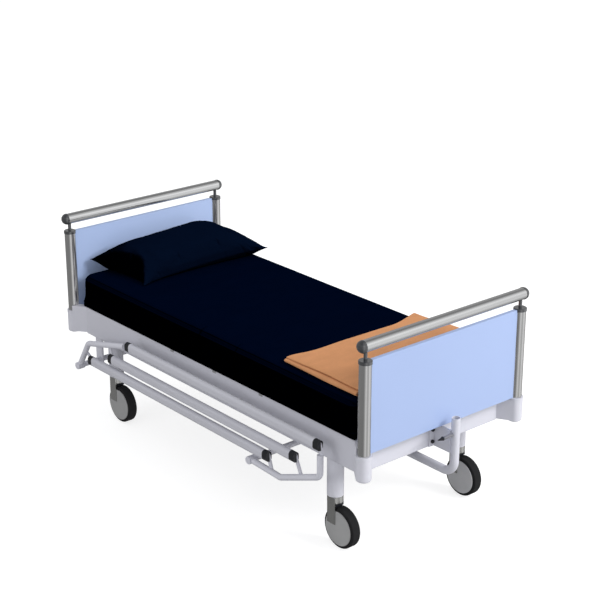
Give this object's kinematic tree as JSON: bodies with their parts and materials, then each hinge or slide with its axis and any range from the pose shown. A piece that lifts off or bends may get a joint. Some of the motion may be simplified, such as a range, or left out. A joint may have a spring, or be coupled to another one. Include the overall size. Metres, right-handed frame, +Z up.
{
  "type": "hospital bed",
  "caption": "Ward bed on casters with lift-off end boards, folding side guards, profiling deck, mattress, pillow and folded blanket",
  "frame": {"origin": "on the floor under the middle of the outside box", "axes": "+Z up, +Y towards the head end, +X to the right when looking towards the head"},
  "size_m": [1.048, 2.272, 1.041],
  "materials": {
    "painted_frame": "satin powder coat",
    "painted_deck": "satin powder coat",
    "guard_bar": "satin powder coat",
    "mattress_cover": "matt woven cover",
    "pillow_cover": "matt woven cover",
    "blanket_wool": "matt wool",
    "actuator_shell": "matt",
    "bright_rod": "ground",
    "dark_plastic": "matt",
    "black_steel": "black oxide",
    "satin_aluminium": "satin anodised",
    "board_laminate": "satin laminate",
    "cap_plastic": "satin",
    "fork_steel": "brushed",
    "wheel_cover": "matt",
    "caster_tyre": "matt rubber"
  },
  "bodies": {
    "frame": {"side_member_left": "painted_frame", "side_member_right": "painted_frame", "crossbar_head": "painted_frame", "crossbar_foot": "painted_frame", "corner_sockets": "painted_frame", "leg_beams": "painted_frame", "middle_beams": "painted_frame", "seat_supports": "painted_frame", "legs": "painted_frame", "deck_rest_pads": "dark_plastic", "guard_tube_head": "painted_frame", "guard_tube_foot": "painted_frame", "deck_seat": "painted_deck", "mattress_seat": "mattress_cover", "back_actuator": "actuator_shell", "leg_actuator": "actuator_shell", "pole_holder_tube": "painted_frame", "pole_holder_bracket": "painted_frame", "pole_holder_bolts": "black_steel"},
    "headboard": {"headboard_posts": "satin_aluminium", "headboard_panel": "board_laminate", "headboard_rail": "satin_aluminium", "headboard_caps": "cap_plastic"},
    "footboard": {"footboard_posts": "satin_aluminium", "footboard_panel": "board_laminate", "footboard_rail": "satin_aluminium", "footboard_caps": "cap_plastic"},
    "backrest": {"deck_back": "painted_deck", "mattress_back": "mattress_cover", "pillow": "pillow_cover"},
    "thigh_section": {"deck_thigh": "painted_deck", "mattress_thigh": "mattress_cover"},
    "calf_section": {"deck_calf": "painted_deck", "mattress_calf": "mattress_cover", "blanket": "blanket_wool"},
    "back_rod": {"back_push_rod": "bright_rod"},
    "leg_rod": {"leg_push_rod": "bright_rod"},
    "clamp_knob": {"clamp_knob": "dark_plastic"},
    "guard_left_foot_arm": {"guard_left_foot_arm": "painted_frame"},
    "guard_left_head_arm": {"guard_left_head_arm": "painted_frame"},
    "guard_left_upper_bar": {"guard_left_upper_bar": "guard_bar"},
    "guard_left_middle_bar": {"guard_left_middle_bar": "guard_bar"},
    "guard_left_lower_bar": {"guard_left_lower_bar": "guard_bar"},
    "guard_right_foot_arm": {"guard_right_foot_arm": "painted_frame"},
    "guard_right_head_arm": {"guard_right_head_arm": "painted_frame"},
    "guard_right_upper_bar": {"guard_right_upper_bar": "guard_bar"},
    "guard_right_middle_bar": {"guard_right_middle_bar": "guard_bar"},
    "guard_right_lower_bar": {"guard_right_lower_bar": "guard_bar"},
    "caster_head_left_swivel": {"caster_head_left_fork": "fork_steel", "caster_head_left_covers": "wheel_cover"},
    "caster_head_left_wheel": {"caster_head_left_wheel": "caster_tyre"},
    "caster_head_right_swivel": {"caster_head_right_fork": "fork_steel", "caster_head_right_covers": "wheel_cover"},
    "caster_head_right_wheel": {"caster_head_right_wheel": "caster_tyre"},
    "caster_foot_left_swivel": {"caster_foot_left_fork": "fork_steel", "caster_foot_left_covers": "wheel_cover"},
    "caster_foot_left_wheel": {"caster_foot_left_wheel": "caster_tyre"},
    "caster_foot_right_swivel": {"caster_foot_right_fork": "fork_steel", "caster_foot_right_covers": "wheel_cover"},
    "caster_foot_right_wheel": {"caster_foot_right_wheel": "caster_tyre"}
  },
  "joints": [
    {"name": "headboard_lift", "type": "slide", "parent": "frame", "child": "headboard", "axis": [0, 0, 1], "range_m": [0, 0.12]},
    {"name": "footboard_lift", "type": "slide", "parent": "frame", "child": "footboard", "axis": [0, 0, 1], "range_m": [0, 0.12]},
    {"name": "backrest_raise", "type": "hinge", "parent": "frame", "child": "backrest", "pos_m": [0, 0.273, 0.5495], "axis": [1, 0, 0], "range_deg": [0, 65]},
    {"name": "thigh_raise", "type": "hinge", "parent": "frame", "child": "thigh_section", "pos_m": [0, -0.047, 0.5495], "axis": [-1, 0, 0], "range_deg": [0, 25]},
    {"name": "knee_bend", "type": "hinge", "parent": "thigh_section", "child": "calf_section", "pos_m": [0, -0.347, 0.5495], "axis": [-1, 0, 0], "range_deg": [-36, 0]},
    {"name": "back_rod_slide", "type": "slide", "parent": "frame", "child": "back_rod", "axis": [0, 1, 0], "range_m": [0, 0.12751]},
    {"name": "leg_rod_slide", "type": "slide", "parent": "frame", "child": "leg_rod", "axis": [0, -1, 0], "range_m": [0, 0.04887]},
    {"name": "clamp_turn", "type": "hinge", "parent": "frame", "child": "clamp_knob", "pos_m": [-0.02, -1.117, 0.5125], "axis": [-1, 0, 0], "range_deg": [0, 360]},
    {"name": "guard_left_raise", "type": "hinge", "parent": "frame", "child": "guard_left_foot_arm", "pos_m": [-0.506, -0.393, 0.2835], "axis": [-1, 0, 0], "range_deg": [0, 62]},
    {"name": "guard_left_head_swing", "type": "hinge", "parent": "frame", "child": "guard_left_head_arm", "pos_m": [-0.506, 0.983, 0.2835], "axis": [-1, 0, 0], "range_deg": [0, 62]},
    {"name": "guard_left_upper_pin", "type": "hinge", "parent": "guard_left_foot_arm", "child": "guard_left_upper_bar", "pos_m": [-0.506, -0.84, 0.5205], "axis": [1, 0, 0], "range_deg": [0, 62]},
    {"name": "guard_left_middle_pin", "type": "hinge", "parent": "guard_left_foot_arm", "child": "guard_left_middle_bar", "pos_m": [-0.506, -0.686, 0.4095], "axis": [1, 0, 0], "range_deg": [0, 62]},
    {"name": "guard_left_lower_pin", "type": "hinge", "parent": "guard_left_foot_arm", "child": "guard_left_lower_bar", "pos_m": [-0.506, -0.505, 0.3435], "axis": [1, 0, 0], "range_deg": [0, 62]},
    {"name": "guard_right_raise", "type": "hinge", "parent": "frame", "child": "guard_right_foot_arm", "pos_m": [0.506, -0.393, 0.2835], "axis": [-1, 0, 0], "range_deg": [0, 62]},
    {"name": "guard_right_head_swing", "type": "hinge", "parent": "frame", "child": "guard_right_head_arm", "pos_m": [0.506, 0.983, 0.2835], "axis": [-1, 0, 0], "range_deg": [0, 62]},
    {"name": "guard_right_upper_pin", "type": "hinge", "parent": "guard_right_foot_arm", "child": "guard_right_upper_bar", "pos_m": [0.506, -0.84, 0.5205], "axis": [1, 0, 0], "range_deg": [0, 62]},
    {"name": "guard_right_middle_pin", "type": "hinge", "parent": "guard_right_foot_arm", "child": "guard_right_middle_bar", "pos_m": [0.506, -0.686, 0.4095], "axis": [1, 0, 0], "range_deg": [0, 62]},
    {"name": "guard_right_lower_pin", "type": "hinge", "parent": "guard_right_foot_arm", "child": "guard_right_lower_bar", "pos_m": [0.506, -0.505, 0.3435], "axis": [1, 0, 0], "range_deg": [0, 62]},
    {"name": "caster_head_left_swivel", "type": "hinge", "parent": "frame", "child": "caster_head_left_swivel", "pos_m": [-0.37, 0.861, 0.2315], "axis": [0, 0, 1], "continuous": true},
    {"name": "caster_head_left_roll", "type": "hinge", "parent": "caster_head_left_swivel", "child": "caster_head_left_wheel", "pos_m": [-0.37, 0.814, 0.092], "axis": [1, 0, 0], "continuous": true},
    {"name": "caster_head_right_swivel", "type": "hinge", "parent": "frame", "child": "caster_head_right_swivel", "pos_m": [0.37, 0.861, 0.2315], "axis": [0, 0, 1], "continuous": true},
    {"name": "caster_head_right_roll", "type": "hinge", "parent": "caster_head_right_swivel", "child": "caster_head_right_wheel", "pos_m": [0.37, 0.814, 0.092], "axis": [1, 0, 0], "continuous": true},
    {"name": "caster_foot_left_swivel", "type": "hinge", "parent": "frame", "child": "caster_foot_left_swivel", "pos_m": [-0.37, -0.796, 0.2315], "axis": [0, 0, 1], "continuous": true},
    {"name": "caster_foot_left_roll", "type": "hinge", "parent": "caster_foot_left_swivel", "child": "caster_foot_left_wheel", "pos_m": [-0.37, -0.843, 0.092], "axis": [1, 0, 0], "continuous": true},
    {"name": "caster_foot_right_swivel", "type": "hinge", "parent": "frame", "child": "caster_foot_right_swivel", "pos_m": [0.37, -0.796, 0.2315], "axis": [0, 0, 1], "continuous": true},
    {"name": "caster_foot_right_roll", "type": "hinge", "parent": "caster_foot_right_swivel", "child": "caster_foot_right_wheel", "pos_m": [0.37, -0.843, 0.092], "axis": [1, 0, 0], "continuous": true}
  ],
  "couplings": [
    {"joint": "knee_bend", "follows": "thigh_raise", "ratio": -1.44},
    {"joint": "back_rod_slide", "follows": "backrest_raise", "m_per_rad": 0.11231},
    {"joint": "leg_rod_slide", "follows": "thigh_raise", "m_per_rad": 0.11178},
    {"joint": "guard_left_head_swing", "follows": "guard_left_raise", "ratio": 1},
    {"joint": "guard_left_upper_pin", "follows": "guard_left_raise", "ratio": 1},
    {"joint": "guard_left_middle_pin", "follows": "guard_left_raise", "ratio": 1},
    {"joint": "guard_left_lower_pin", "follows": "guard_left_raise", "ratio": 1},
    {"joint": "guard_right_head_swing", "follows": "guard_right_raise", "ratio": 1},
    {"joint": "guard_right_upper_pin", "follows": "guard_right_raise", "ratio": 1},
    {"joint": "guard_right_middle_pin", "follows": "guard_right_raise", "ratio": 1},
    {"joint": "guard_right_lower_pin", "follows": "guard_right_raise", "ratio": 1}
  ]
}
